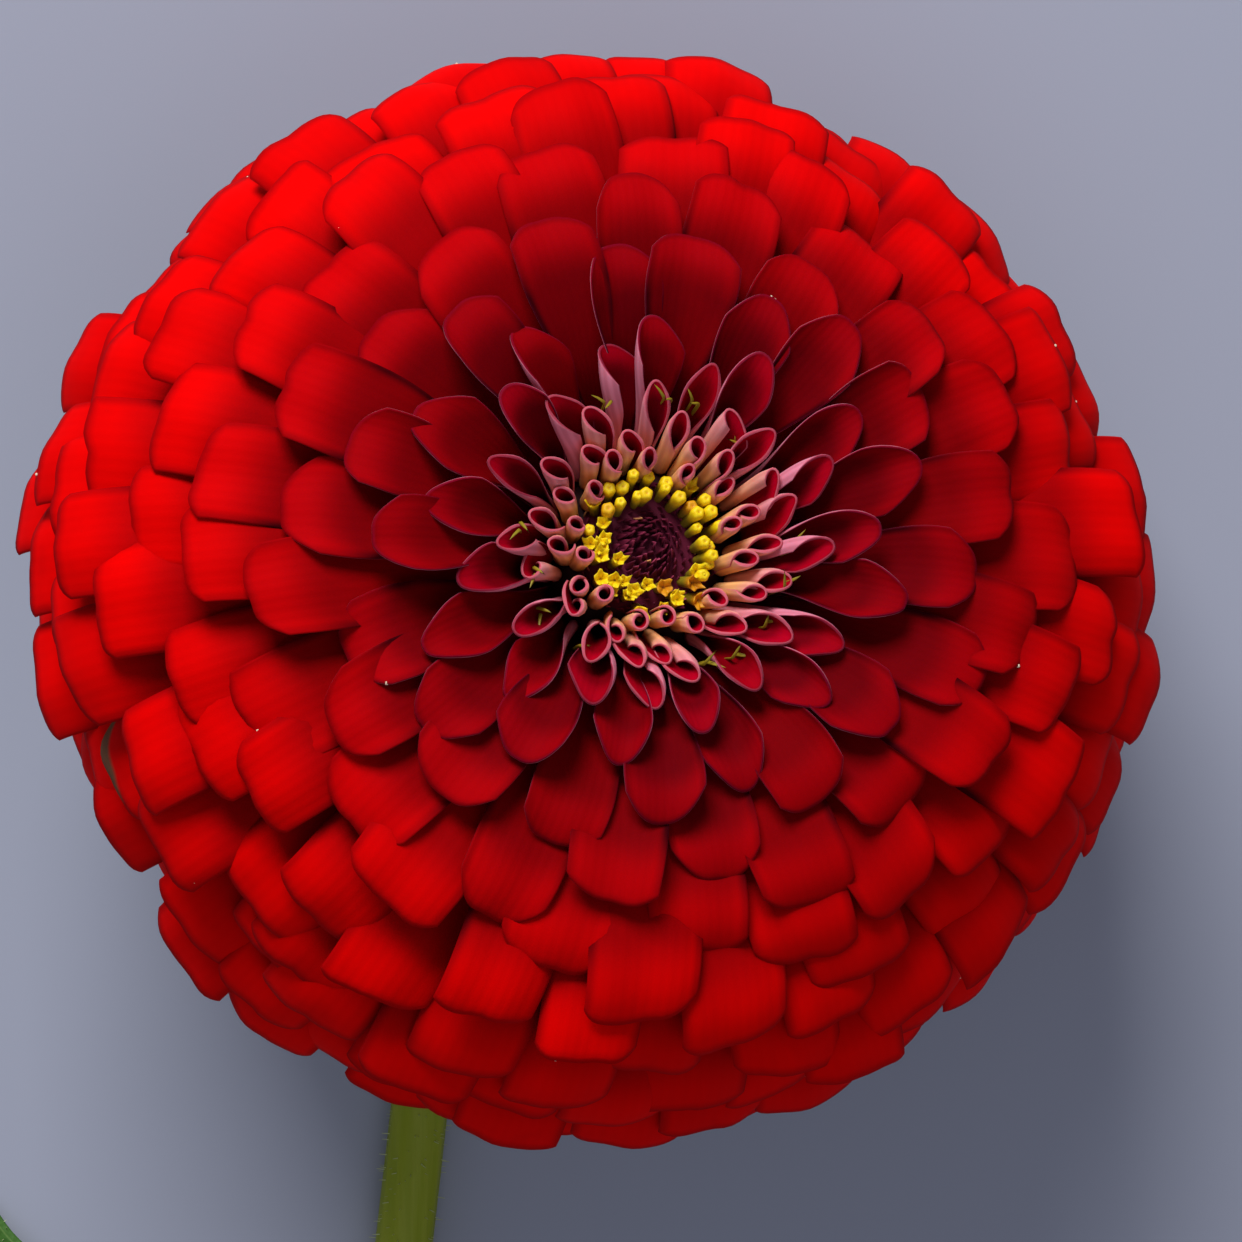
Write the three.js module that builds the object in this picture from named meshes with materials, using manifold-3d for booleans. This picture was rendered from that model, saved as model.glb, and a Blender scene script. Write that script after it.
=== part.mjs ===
// A double zinnia: one cut flower lying on its side, with its stem and a pair of leaves. Millimetres, +Z up.
import * as THREE from "three";
import { mergeVertices } from "three/addons/utils/BufferGeometryUtils.js";
import Module from "manifold-3d";

const wasm = await Module();
wasm.setup();

// ---- pose: the bloom's base point and the direction its face looks in
const BASE = new THREE.Vector3(6.266, 50.278, 34.55);
const FACING = new THREE.Vector3(0.198, 0.332, 0.923).normalize();

// ---- ray florets, oldest and lowest first
const RAYS = 236;
const GOLDEN = 137.50776405;
const RAY_THICK = 0.88;
const TUBE_THICK = 0.62;
const TUBE_AGE = 0.85;
const MOST_ROLL = (150 * Math.PI) / 180;
const SUNK = 2.2;

// How a ray floret changes from the oldest (age 0) to the youngest (age 1): its root and tip (distance from
// the bloom's axis, height above its base), its bend in degrees, its width, how far each half rolls at the
// root and at the tip, the claw's share of the width, how round the tip is and how blunt.
const STAGE_KEYS =
  ["age", "rootR", "rootZ", "tipR", "tipZ", "bend", "width", "rollRoot", "rollTip", "claw", "round", "blunt"];
const STAGES = [
  [0.0, 10.4, 1.5, 43.4, -24.0, 86, 12.4, 25, -22, 0.36, 0.05, 5.0],
  [0.21, 10.3, 6.5, 53.6, -6.0, 90, 12.8, 25, -22, 0.34, 0.05, 5.0],
  [0.4, 10.1, 12.0, 52.2, 12.0, 84, 12.6, 30, -18, 0.34, 0.055, 5.0],
  [0.55, 10.0, 16.0, 45.0, 24.2, 72, 11.8, 40, -12, 0.34, 0.08, 3.8],
  [0.66, 9.9, 18.8, 36.0, 30.0, 62, 10.8, 55, 2, 0.34, 0.12, 2.9],
  [0.74, 9.8, 20.6, 27.5, 32.4, 54, 10.0, 85, 26, 0.36, 0.16, 2.5],
  [0.8, 9.7, 21.6, 20.8, 32.8, 42, 9.2, 130, 58, 0.5, 0.2, 2.3],
  [0.85, 9.6, 22.3, 15.8, 32.2, 30, 8.8, 170, 108, 0.7, 0.24, 2.1],
  [0.9, 9.0, 22.9, 12.4, 31.0, 18, 7.8, 190, 165, 0.85, 0.26, 2.0],
  [0.95, 8.0, 23.4, 9.8, 29.8, 8, 6.6, 200, 195, 0.92, 0.24, 2.0],
  [1.0, 7.0, 23.8, 7.5, 28.4, 4, 5.4, 205, 215, 0.96, 0.2, 2.0],
];
// The solid tubes stand clear of the disc: how near the axis their roots and tips may come.
const NEAREST_ROOT = 9.5;
const NEAREST_TIP = 10.3;

// The solid heart of the bloom that the florets stand in: distance from the axis, height above the base.
const HEART = [
  [0.0, 0.0],
  [9.9, 0.0],
  [31.0, -3.2],
  [37.5, -10.5],
  [43.8, -2.0],
  [44.4, 9.0],
  [41.0, 19.5],
  [31.0, 27.3],
  [18.0, 28.6],
  [11.5, 27.0],
  [7.5, 25.6],
  [7.5, 21.9],
  [0.0, 21.9],
];
const HEART_SIDES = 10;
const REACH = [
  [0.0, 25.0],
  [0.15, 15.5],
  [0.25, 15.0],
  [0.45, 14.6],
  [0.55, 14.5],
  [0.66, 13.5],
  [0.74, 12.0],
  [0.8, 10.0],
  [0.84, 8.5],
  [0.9, 6.5],
  [1.0, 4.2],
];

// ---- disc
const BUDS = 26;
const BUD_RING = [5.0, 5.9];
const BUD_RADIUS = 0.75;
const DISC_TOP = 27.6;
const COLLAR = [
  [6.2, 22.3],
  [6.2, 25.4],
  [4.5, 25.4],
  [4.5, 22.3],
  [6.2, 22.3],
];
const DOME = [
  [0.0, 22.3],
  [4.15, 22.3],
  [4.15, 26.0],
  [2.9, 26.9],
  [1.2, 27.2],
  [0.0, 27.2],
];
const CHAFF = 19;

// ---- involucre, stem and leaves
const CUP = [
  [0.0, -13.0],
  [3.3, -13.0],
  [6.6, -11.6],
  [9.2, -8.0],
  [9.9, -4.0],
  [9.4, -0.4],
  [0.0, -0.4],
];
const BRACTS = 9;
const STEM_RADIUS = 2.9;
const NODE_AT = 0.775;
const LEAF_LEFT = [-38.4, 47.5];
const LEAF_RIGHT = [52, 13];
const LEAF_WIDTH = 25;
const LEAF_THICK = 0.95;

const COLOURS = {
  ray: 0xd10a08,
  disc: 0xe0b81c,
  chaff: 0x5a0f22,
  green: 0x7f8420,
  leaf: 0x3f7028,
};

// ---- helpers

const rad = (degrees) => (degrees * Math.PI) / 180;
const clamp = (x, low, high) => Math.min(high, Math.max(low, x));
const smooth = (x) => clamp(x, 0, 1) ** 2 * (3 - 2 * clamp(x, 0, 1));

// Even noise in -1..1 from a floret's number and a channel, the same on every run.
function noise(index, channel) {
  const v = Math.sin(index * 12.9898 + channel * 78.233) * 43758.5453;
  return (v - Math.floor(v)) * 2 - 1;
}

function between(rows, x) {
  const last = rows.length - 1;
  if (x <= rows[0][0]) return rows[0][1];
  if (x >= rows[last][0]) return rows[last][1];
  const k = rows.findIndex((row) => row[0] >= x);
  const f = (x - rows[k - 1][0]) / (rows[k][0] - rows[k - 1][0]);
  return rows[k - 1][1] + (rows[k][1] - rows[k - 1][1]) * f;
}

const stage = (age, key) => between(STAGES.map((row) => [row[0], row[STAGE_KEYS.indexOf(key)]]), age);

const TURN = new THREE.Quaternion().setFromUnitVectors(new THREE.Vector3(0, 0, 1), FACING);
const fromBloom = (p) => p.clone().applyQuaternion(TURN).add(BASE);

// A manifold-3d solid from vertices and triangles that already close.
function solid(points, faces) {
  const vertProperties = new Float32Array(points.flatMap((p) => [p.x, p.y, p.z]));
  const triVerts = new Uint32Array(faces.flat());
  return new wasm.Manifold(new wasm.Mesh({ numProp: 3, vertProperties, triVerts }));
}

// A three.js geometry as a solid: vertices at one place joined, faces that collapsed dropped.
function solidOf(geometry) {
  const bare = new THREE.BufferGeometry();
  bare.setAttribute("position", geometry.getAttribute("position"));
  bare.setIndex(geometry.getIndex());
  const merged = mergeVertices(bare, 1e-4);
  const spots = merged.getAttribute("position");
  const points = [];
  for (let i = 0; i < spots.count; i++) points.push(new THREE.Vector3().fromBufferAttribute(spots, i));
  const faces = [];
  for (let i = 0; i < merged.index.count; i += 3) {
    const [a, b, c] = merged.index.array.slice(i, i + 3);
    if (a !== b && b !== c && c !== a) faces.push([a, b, c]);
  }
  return solid(points, faces);
}

// A shape turned round the Z axis from a profile of [radius, height] rows that starts and ends on the axis.
function turned(profile, sides) {
  const points = profile.map(([r, z]) => new THREE.Vector2(r, z));
  return new THREE.LatheGeometry(points, sides).rotateX(Math.PI / 2).rotateZ(Math.PI / 2);
}

// A geometry made round the bloom's axis, as a solid in the part's frame.
function inBloom(geometry) {
  return solidOf(geometry.applyQuaternion(TURN).translate(BASE.x, BASE.y, BASE.z));
}

// A closed sheet from a grid of mid-surface points: half[j] is the half thickness of column j, 0 where
// its edge is sharp.
function sheet(rows, half) {
  const n = rows.length;
  const m = rows[0].length;
  const points = [];
  const upper = [];
  const lower = [];
  for (let i = 0; i < n; i++) {
    upper.push([]);
    lower.push([]);
    for (let j = 0; j < m; j++) {
      const along = rows[Math.min(i + 1, n - 1)][j].clone().sub(rows[Math.max(i - 1, 0)][j]);
      const across = rows[i][Math.min(j + 1, m - 1)].clone().sub(rows[i][Math.max(j - 1, 0)]);
      const normal = along.cross(across).normalize();
      upper[i].push(points.push(rows[i][j].clone().addScaledVector(normal, half[j])) - 1);
      if (half[j] === 0) lower[i].push(upper[i][j]);
      else lower[i].push(points.push(rows[i][j].clone().addScaledVector(normal, -half[j])) - 1);
    }
  }
  const faces = [];
  const quad = (a, b, c, d) => {
    if (a !== b && b !== c && c !== a) faces.push([a, b, c]);
    if (a !== c && c !== d && d !== a) faces.push([a, c, d]);
  };
  for (let i = 0; i < n - 1; i++) {
    for (let j = 0; j < m - 1; j++) {
      quad(upper[i][j], upper[i + 1][j], upper[i + 1][j + 1], upper[i][j + 1]);
      quad(lower[i][j], lower[i][j + 1], lower[i + 1][j + 1], lower[i + 1][j]);
    }
    quad(upper[i][0], lower[i][0], lower[i + 1][0], upper[i + 1][0]);
    quad(upper[i][m - 1], upper[i + 1][m - 1], lower[i + 1][m - 1], lower[i][m - 1]);
  }
  for (let j = 0; j < m - 1; j++) {
    quad(upper[0][j], upper[0][j + 1], lower[0][j + 1], lower[0][j]);
    quad(upper[n - 1][j], lower[n - 1][j], lower[n - 1][j + 1], upper[n - 1][j + 1]);
  }
  return solid(points, faces);
}

// A body of rings joined in order, each ring the same count of points, closed by a fan at both ends.
function loft(rings) {
  const sides = rings[0].length;
  const points = rings.flat();
  const faces = [];
  for (let i = 0; i < rings.length - 1; i++) {
    for (let j = 0; j < sides; j++) {
      const a = i * sides + j;
      const b = i * sides + ((j + 1) % sides);
      faces.push([a, b, b + sides]);
      faces.push([a, b + sides, a + sides]);
    }
  }
  const middle = (ring) => ring.reduce((sum, p) => sum.add(p), new THREE.Vector3()).divideScalar(sides);
  const first = points.push(middle(rings[0])) - 1;
  const last = points.push(middle(rings[rings.length - 1])) - 1;
  const top = (rings.length - 1) * sides;
  for (let j = 0; j < sides; j++) {
    faces.push([first, (j + 1) % sides, j]);
    faces.push([last, top + j, top + ((j + 1) % sides)]);
  }
  return solid(points, faces);
}

// Solids joined into one, with the small voids shut in between them filled.
const bigger = (a, b) => (b.volume() > a.volume() ? b : a);
const largest = (body) => body.decompose().reduce(bigger);
const fuse = (solids) => largest(wasm.Manifold.union(solids));

// Everything under the surface that the flower lies on, taken off.
function trimmed(body) {
  const side = 600;
  const deep = 60;
  const cutter = solidOf(new THREE.BoxGeometry(side, side, deep).translate(0, 0, -deep / 2));
  return body.subtract(cutter);
}

function mesh(body, name, colour, roughness) {
  const made = body.getMesh();
  const geometry = new THREE.BufferGeometry();
  geometry.setAttribute("position", new THREE.BufferAttribute(new Float32Array(made.vertProperties), 3));
  geometry.setIndex(new THREE.BufferAttribute(new Uint32Array(made.triVerts), 1));
  const flat = geometry.toNonIndexed();
  flat.computeVertexNormals();
  const material = new THREE.MeshStandardMaterial({ color: colour, roughness, metalness: 0 });
  const node = new THREE.Mesh(flat, material);
  node.name = name;
  return node;
}

// ---- ray florets

// One floret's own measures, with its share of unevenness.
function rayOf(index) {
  const age = (index + 0.5) / RAYS;
  const young = clamp((age - 0.66) / 0.24, 0, 1);
  const open = 1 - young;
  const rootR = age > TUBE_AGE ? Math.max(stage(age, "rootR"), NEAREST_ROOT) : stage(age, "rootR");
  const tipR = age > TUBE_AGE ? Math.max(stage(age, "tipR"), NEAREST_TIP) : stage(age, "tipR");
  const dr = tipR - rootR;
  const dz = stage(age, "tipZ") - stage(age, "rootZ");
  const bend = rad(stage(age, "bend") + 8 * noise(index, 5) * open);
  const lean = Math.atan2(dr, dz) + rad(3 * noise(index, 4));
  const chord = Math.hypot(dr, dz) * (1 + 0.03 * noise(index, 2));
  return {
    age,
    azimuth: rad(index * GOLDEN + 3 * noise(index, 1)),
    rootR,
    rootZ: stage(age, "rootZ"),
    length: (chord * bend) / 2 / Math.sin(bend / 2),
    start: lean - bend / 2,
    turn: bend,
    width: stage(age, "width") * (1 + 0.08 * noise(index, 3)),
    rollRoot: rad(stage(age, "rollRoot")),
    rollTip: rad(stage(age, "rollTip") + (8 + 6 * young) * noise(index, 6)),
    twist: rad(8 * noise(index, 7)) * open,
    claw: stage(age, "claw"),
    spread: 0.62 + 0.2 * smooth((age - 0.5) / 0.25),
    round: stage(age, "round") * (1 + 0.4 * noise(index, 8)),
    blunt: stage(age, "blunt"),
    skew: 0.03 * noise(index, 9) * open,
    droop: (1.1 + 0.7 * noise(index, 12)) * open,
    brim: 0.4 * (1 - smooth((age - 0.45) / 0.2)),
  };
}

// A point of a floret's middle surface: s runs from root to tip, w from one edge to the other.
function rayPoint(ray, s, w) {
  const u = s * (1 - ray.round * Math.abs(w) ** ray.blunt + ray.skew * w);
  const angle = ray.start + ray.turn * u;
  const pace = ray.length / ray.turn;
  const r = ray.rootR + pace * (Math.cos(ray.start) - Math.cos(angle));
  const z = ray.rootZ + pace * (Math.sin(angle) - Math.sin(ray.start));
  const claw = ray.claw + (1 - ray.claw) * smooth((u - ray.spread + 0.62) / 0.62);
  const half = (ray.width / 2) * claw * (1 - 0.6 * ray.round * smooth((u - 0.8) / 0.2));
  let roll = ray.rollRoot + (ray.rollTip - ray.rollRoot) * smooth(u / 0.8);
  if (Math.abs(roll) < 0.02) roll = 0.02;
  roll = Math.min(roll, MOST_ROLL);
  const tight = clamp(Math.abs(roll) / Math.PI - 0.3, 0, 1);
  const arc = (half / roll) * (1 + 0.2 * w * tight);
  const under = clamp((u - 0.84) / 0.16, 0, 1);
  const brim = ray.brim * w ** 4 * smooth((u - 0.3) / 0.6);
  const flatLat = arc * Math.sin(roll * w);
  const flatOff = arc * (1 - Math.cos(roll * w)) - ray.droop * under * under - brim;
  const c = Math.cos(ray.twist * u);
  const d = Math.sin(ray.twist * u);
  const lat = flatLat * c - flatOff * d;
  const off = flatLat * d + flatOff * c;
  const reach = r - off * Math.cos(angle);
  const p = new THREE.Vector3(
    reach * Math.cos(ray.azimuth) - lat * Math.sin(ray.azimuth),
    reach * Math.sin(ray.azimuth) + lat * Math.cos(ray.azimuth),
    z + off * Math.sin(angle),
  );
  const placed = fromBloom(p);
  placed.z = Math.max(placed.z, -0.4);
  return placed;
}

function rayFloret(index) {
  const ray = rayOf(index);
  const tube = ray.age > TUBE_AGE;
  const across = tube ? [-1, -0.5, 0, 0.5, 1] : [-1, 0, 1];
  const thick = tube ? TUBE_THICK : RAY_THICK;
  const half = across.map((w) => (!tube && Math.abs(w) === 1 ? 0 : thick / 2));
  const from = Math.max(0, 1 - (between(REACH, ray.age) + SUNK) / ray.length);
  const steps = tube ? 1 : 2;
  const rows = [];
  for (let i = 0; i <= steps; i++) {
    const s = from + ((1 - from) * i) / steps;
    rows.push(across.map((w) => rayPoint(ray, s, w)));
  }
  return sheet(rows, half);
}

function rayPetals() {
  const florets = [];
  for (let i = 0; i < RAYS; i++) {
    const tube = (i + 0.5) / RAYS > TUBE_AGE;
    const crowded = tube && i % 3 === 1;
    if (!crowded) florets.push(rayFloret(i));
  }
  const heart = inBloom(turned(HEART, HEART_SIDES));
  return largest(trimmed(fuse([heart, ...florets])));
}

// ---- disc

// A small blunt peg standing along a given direction in the bloom's frame: a bud or a chaff tip.
function peg(foot, direction, length, radius, tip, sides) {
  const profile = [
    [0, 0],
    [radius, 0],
    [radius, length * 0.75],
    [tip, length],
    [0, length],
  ];
  const tilt = new THREE.Quaternion().setFromUnitVectors(new THREE.Vector3(0, 0, 1), direction);
  return inBloom(turned(profile, sides).applyQuaternion(tilt).translate(foot.x, foot.y, foot.z));
}

function discFlorets() {
  const bodies = [inBloom(turned(COLLAR, 20))];
  for (let i = 0; i < BUDS; i++) {
    const angle = ((i + 0.25 * noise(i, 31)) / BUDS) * 2 * Math.PI;
    const r = BUD_RING[i % 2];
    const foot = new THREE.Vector3(r * Math.cos(angle), r * Math.sin(angle), 24.6);
    const direction = new THREE.Vector3(0.12 * Math.cos(angle), 0.12 * Math.sin(angle), 1).normalize();
    const top = DISC_TOP + 0.5 * noise(i, 32) - (i % 2) * 0.3;
    bodies.push(peg(foot, direction, top - 24.6, BUD_RADIUS, BUD_RADIUS * 0.6, 5));
  }
  return fuse(bodies);
}

function discCentre() {
  const bodies = [inBloom(turned(DOME, 14))];
  for (let i = 0; i < CHAFF; i++) {
    const angle = rad(i * GOLDEN);
    const r = 3.45 * Math.sqrt((i + 0.5) / CHAFF);
    const foot = new THREE.Vector3(r * Math.cos(angle), r * Math.sin(angle), 25.6);
    const direction = new THREE.Vector3(0.1 * noise(i, 41), 0.1 * noise(i, 42), 1).normalize();
    bodies.push(peg(foot, direction, 2.4 + 0.5 * noise(i, 43), 0.6, 0.25, 4));
  }
  return fuse(bodies);
}

// ---- involucre

function involucre() {
  const profile = CUP.slice(1, -1).map(([r, z]) => [z, r]);
  const bodies = [inBloom(turned(CUP, 18))];
  for (let k = 0; k < 2; k++) {
    for (let i = 0; i < BRACTS; i++) {
      const azimuth = ((i + 0.5 * k + 0.12 * noise(i, 50 + k)) / BRACTS) * 2 * Math.PI;
      const low = -10.4 + 4.4 * k;
      const high = Math.min(low + 5.6, -1.0);
      const rows = [0, 0.5, 1].map((s) =>
        [-1, 0, 1].map((w) => {
          const z = low + (high - low) * s - 0.9 * s * w * w;
          const r = between(profile, z) + 0.25 + 0.5 * s * s;
          const wide = (0.4 - 0.05 * k) * (1 - 0.35 * s * s);
          const angle = azimuth + w * wide;
          return fromBloom(new THREE.Vector3(r * Math.cos(angle), r * Math.sin(angle), z));
        }),
      );
      bodies.push(sheet(rows, [0, 0.42, 0]));
    }
  }
  return fuse(bodies);
}

// ---- stem

// The stem's line: out of the cup against the bloom's facing, over the neck, then along the surface.
function stemLine() {
  const top = fromBloom(new THREE.Vector3(0, 0, -13.3));
  const lie = STEM_RADIUS - 0.12;
  const at = (x, y, z = lie) => new THREE.Vector3(x, y, z);
  const x0 = BASE.x;
  const y0 = BASE.y;
  return new THREE.CatmullRomCurve3(
    [
      top,
      top.clone().addScaledVector(FACING, -5),
      at(x0 - 9.2, y0 - 17.5, 12.2),
      at(x0 - 13.0, y0 - 30.5, 5.2),
      at(x0 - 16.3, y0 - 45.5),
      at(x0 - 18.9, y0 - 66.0),
      at(x0 - 21.9, y0 - 92.0),
      at(x0 - 25.0, y0 - 118.0),
      at(x0 - 29.6, y0 - 152.0),
    ],
    false,
    "centripetal",
  );
}

function stemRadius(f) {
  const neck = 0.55 * (1 - smooth(f / 0.14));
  const joint = 0.75 * Math.exp(-(((f - NODE_AT) / 0.016) ** 2));
  return STEM_RADIUS + neck + joint + 0.12 * f;
}

function stem(line) {
  const sides = 10;
  const stops = [];
  for (let i = 0; i <= 12; i++) stops.push(i / 21);
  stops.push(NODE_AT - 0.03, NODE_AT, NODE_AT + 0.03, 0.75, 0.88, 1);
  stops.sort((a, b) => a - b);
  const rings = stops.map((f) => {
    const p = line.getPointAt(f);
    const tangent = line.getTangentAt(f);
    const side = new THREE.Vector3(0, 0, 1).cross(tangent).normalize();
    const up = tangent.clone().cross(side).normalize();
    const ring = [];
    for (let j = 0; j < sides; j++) {
      const angle = ((j + 0.5) / sides) * 2 * Math.PI;
      const q = p.clone().addScaledVector(side, stemRadius(f) * Math.cos(angle));
      q.addScaledVector(up, stemRadius(f) * Math.sin(angle));
      q.z = Math.max(q.z, 0);
      ring.push(q);
    }
    return ring;
  });
  return loft(rings);
}

// ---- leaves

// A sessile leaf: straight out of the joint, then bent towards its tip, arched, folded a little along its
// midrib and waved at its edges.
function leaf(line, side, reach, width, seed) {
  const joint = line.getPointAt(NODE_AT);
  const along = line.getTangentAt(NODE_AT);
  const out = new THREE.Vector3(-along.y, along.x, 0).normalize().multiplyScalar(side);
  const start = joint.clone().addScaledVector(out, stemRadius(NODE_AT) + 0.35);
  start.z = 3.9;
  const tip = new THREE.Vector3(joint.x + reach[0], joint.y + reach[1], 1.2);
  const elbow = start.clone().addScaledVector(out, 0.36 * start.distanceTo(tip));
  elbow.z = 7.0;
  const midrib = new THREE.QuadraticBezierCurve3(start, elbow, tip);
  const rows = [];
  const count = 9;
  for (let i = 0; i <= count; i++) {
    const s = i / count;
    const heading = midrib.getTangent(s).setZ(0).normalize();
    const left = new THREE.Vector3(-heading.y, heading.x, 0);
    const half = (width / 2) * Math.sin(Math.PI * (0.08 + 0.9 * s ** 0.95)) ** 0.85;
    rows.push(
      [-1, -0.5, 0, 0.5, 1].map((w) => {
        const wave = 0.8 * Math.sin(9 * s + seed + 1.6 * Math.sign(w)) * w * w * Math.sin(Math.PI * s);
        const p = midrib.getPoint(s).addScaledVector(left, w * half);
        p.z += 2.4 * Math.abs(w) * Math.sin(Math.PI * Math.min(1, 0.1 + 0.9 * s)) + wave;
        p.z = Math.max(p.z, LEAF_THICK / 2 - 0.04);
        return p;
      }),
    );
  }
  return trimmed(sheet(rows, [0, LEAF_THICK * 0.42, LEAF_THICK / 2 + 0.25, LEAF_THICK * 0.42, 0]));
}

// ---- the flower

const line = stemLine();
const flower = new THREE.Group();
flower.name = "zinnia";
flower.add(mesh(rayPetals(), "ray_petals", COLOURS.ray, 0.6));
flower.add(mesh(discFlorets(), "disc_florets", COLOURS.disc, 0.6));
flower.add(mesh(discCentre(), "disc_centre", COLOURS.chaff, 0.7));
flower.add(mesh(involucre(), "involucre", COLOURS.green, 0.7));
flower.add(mesh(stem(line), "stem", COLOURS.green, 0.7));
flower.add(mesh(leaf(line, -1, LEAF_LEFT, LEAF_WIDTH, 0.4), "leaf_left", COLOURS.leaf, 0.65));
flower.add(mesh(leaf(line, 1, LEAF_RIGHT, LEAF_WIDTH, 2.1), "leaf_right", COLOURS.leaf, 0.65));

export default flower;
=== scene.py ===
import math

import bmesh
import bpy
from bpy.props import FloatProperty, FloatVectorProperty, IntProperty, PointerProperty
from mathutils import Matrix, Vector


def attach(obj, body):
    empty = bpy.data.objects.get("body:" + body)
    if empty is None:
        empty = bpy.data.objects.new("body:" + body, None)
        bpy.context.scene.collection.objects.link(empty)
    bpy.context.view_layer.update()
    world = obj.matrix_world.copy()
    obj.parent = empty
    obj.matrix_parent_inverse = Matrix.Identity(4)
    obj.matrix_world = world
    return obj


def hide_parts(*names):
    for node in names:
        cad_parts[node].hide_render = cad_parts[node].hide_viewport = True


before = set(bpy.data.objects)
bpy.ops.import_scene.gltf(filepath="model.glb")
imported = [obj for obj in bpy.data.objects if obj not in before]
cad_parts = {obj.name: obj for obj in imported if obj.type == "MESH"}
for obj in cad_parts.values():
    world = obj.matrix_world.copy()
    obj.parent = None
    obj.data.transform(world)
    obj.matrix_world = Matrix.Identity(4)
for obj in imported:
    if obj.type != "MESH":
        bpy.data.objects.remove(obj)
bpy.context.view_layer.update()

bl_info = {
    "name": "Double zinnia",
    "version": (1, 0, 0),
    "blender": (4, 5, 0),
    "location": "View3D > Sidebar > Zinnia",
    "description": "Dresses a cut double zinnia: ray florets, disc, cup, stem and leaves",
    "category": "Object",
}

MM = 0.001

# The bloom's base point and the way its face looks, in millimetres, as the solids have them.
BASE = Vector((6.266, 50.278, 34.55))
FACING = Vector((0.198, 0.332, 0.923)).normalized()
TURN = Vector((0, 0, 1)).rotation_difference(FACING)

# The angle between one floret and the next in a growing head, in degrees.
GOLDEN = 137.50776405

# How a ray floret changes from the oldest (age 0) to the youngest (age 1): its root and tip (distance from
# the bloom's axis, height above its base, in millimetres), its bend in degrees, its width, how far each half
# rolls at the root and at the tip, the claw's share of the width, how round the tip is and how blunt.
STAGE_KEYS = (
    "age", "rootR", "rootZ", "tipR", "tipZ", "bend", "width",
    "rollRoot", "rollTip", "claw", "round", "blunt",
)
STAGES = (
    (0.00, 10.4, 1.5, 43.4, -24.0, 86, 10.2, 25, -20, 0.36, 0.020, 8.0),
    (0.24, 10.3, 6.5, 53.6, -6.0, 90, 10.6, 25, -20, 0.34, 0.020, 8.0),
    (0.45, 10.1, 12.0, 52.2, 12.0, 84, 10.4, 30, -16, 0.34, 0.022, 8.0),
    (0.60, 10.0, 16.0, 45.0, 24.2, 72, 9.9, 40, -10, 0.34, 0.040, 5.5),
    (0.70, 9.9, 18.8, 36.0, 30.0, 62, 9.2, 55, 4, 0.34, 0.080, 3.4),
    (0.77, 9.8, 20.6, 27.5, 32.2, 54, 8.1, 85, 34, 0.34, 0.13, 2.6),
    (0.82, 9.7, 21.6, 20.8, 32.4, 42, 6.4, 130, 66, 0.46, 0.22, 2.2),
    (0.855, 9.6, 22.3, 16.4, 32.0, 30, 6.1, 175, 110, 0.66, 0.31, 2.1),
    (0.89, 9.2, 22.9, 13.2, 31.2, 20, 6.0, 200, 160, 0.82, 0.38, 2.0),
    (0.94, 8.2, 23.4, 10.4, 30.2, 10, 5.6, 215, 200, 0.92, 0.38, 2.0),
    (1.00, 7.0, 23.8, 7.4, 29.0, 4, 4.9, 225, 225, 0.96, 0.34, 2.0),
)

# The bloom isn't quite round: how much longer its grown florets are, by the angle round its axis.
SWELL = (
    (0, 0.01), (30, -0.03), (45, -0.035), (65, -0.07), (80, -0.05), (100, 0.0),
    (120, -0.035), (150, 0.0), (170, 0.02), (195, -0.01), (210, -0.02), (225, -0.06),
    (240, -0.01), (270, -0.03), (310, -0.025), (335, 0.01), (360, 0.01),
)

# The one floret whose tip has withered.
WILTED = 135

# Pieces of the bloom, from the lowest petals inwards: name, first and last age, points across and along.
RAY_PIECES = (
    ("skirt_petals", 0.0, 0.31, 17, 25),
    ("shoulder_petals", 0.31, 0.6, 17, 25),
    ("bowl_petals", 0.6, 0.81, 21, 25),
    ("rolled_petals", 0.81, 1.0, 27, 21),
)

# The pieces that pale specks of dust and pollen lie on.
DUSTY = ("shoulder_petals", "bowl_petals")

# The stem's line from the cup to the cut, in millimetres from the bloom's base point in plan, and its height;
# None where it lies on the ground.
STEM_LINE = (
    (-9.2, -17.5, 12.2),
    (-13.0, -30.5, 5.2),
    (-16.3, -45.5, None),
    (-18.9, -66.0, None),
    (-21.9, -92.0, None),
    (-25.0, -118.0, None),
    (-29.6, -152.0, None),
)
STEM_RADIUS = 2.9

# The green cup under the petals, the receptacle they stand on, and the dark dome in the disc: distance from
# the bloom's axis and height above its base, in millimetres.
CUP = ((3.3, -13.0), (6.6, -11.6), (9.2, -8.0), (9.9, -4.0), (9.4, -0.4))
RECEPTACLE = ((10.0, 2.0), (9.9, 12.0), (9.6, 20.0), (8.2, 22.6), (6.3, 23.6), (4.0, 23.9), (0.05, 24.0))
DOME = ((0.05, 22.3), (6.2, 22.3), (6.4, 23.5), (5.2, 24.15), (3.4, 24.5), (1.1, 24.9), (0.05, 25.0))
BRACTS_PER_ROW = 12

# The joint that carries the leaves, as a share of the stem's length. Each leaf: which side of the joint it
# leaves from, how far its tip is from the joint in plan, and its own number.
JOINT_AT = 0.775
LEAVES = (("leaf_left", -1, (-38.4, 47.5), 0.4), ("leaf_right", 1, (52.0, 13.0), 2.1))
LEAF_WIDTH = 25.0
LEAF_THICK = 0.95

# The camera: how far past straight above it stands, in degrees, and how far the disc's middle is from the
# middle of its view, in metres.
CAMERA_LEAN = 10
ASIDE = 0.00303
ABOVE = 0.0072


# ---- numbers


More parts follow.
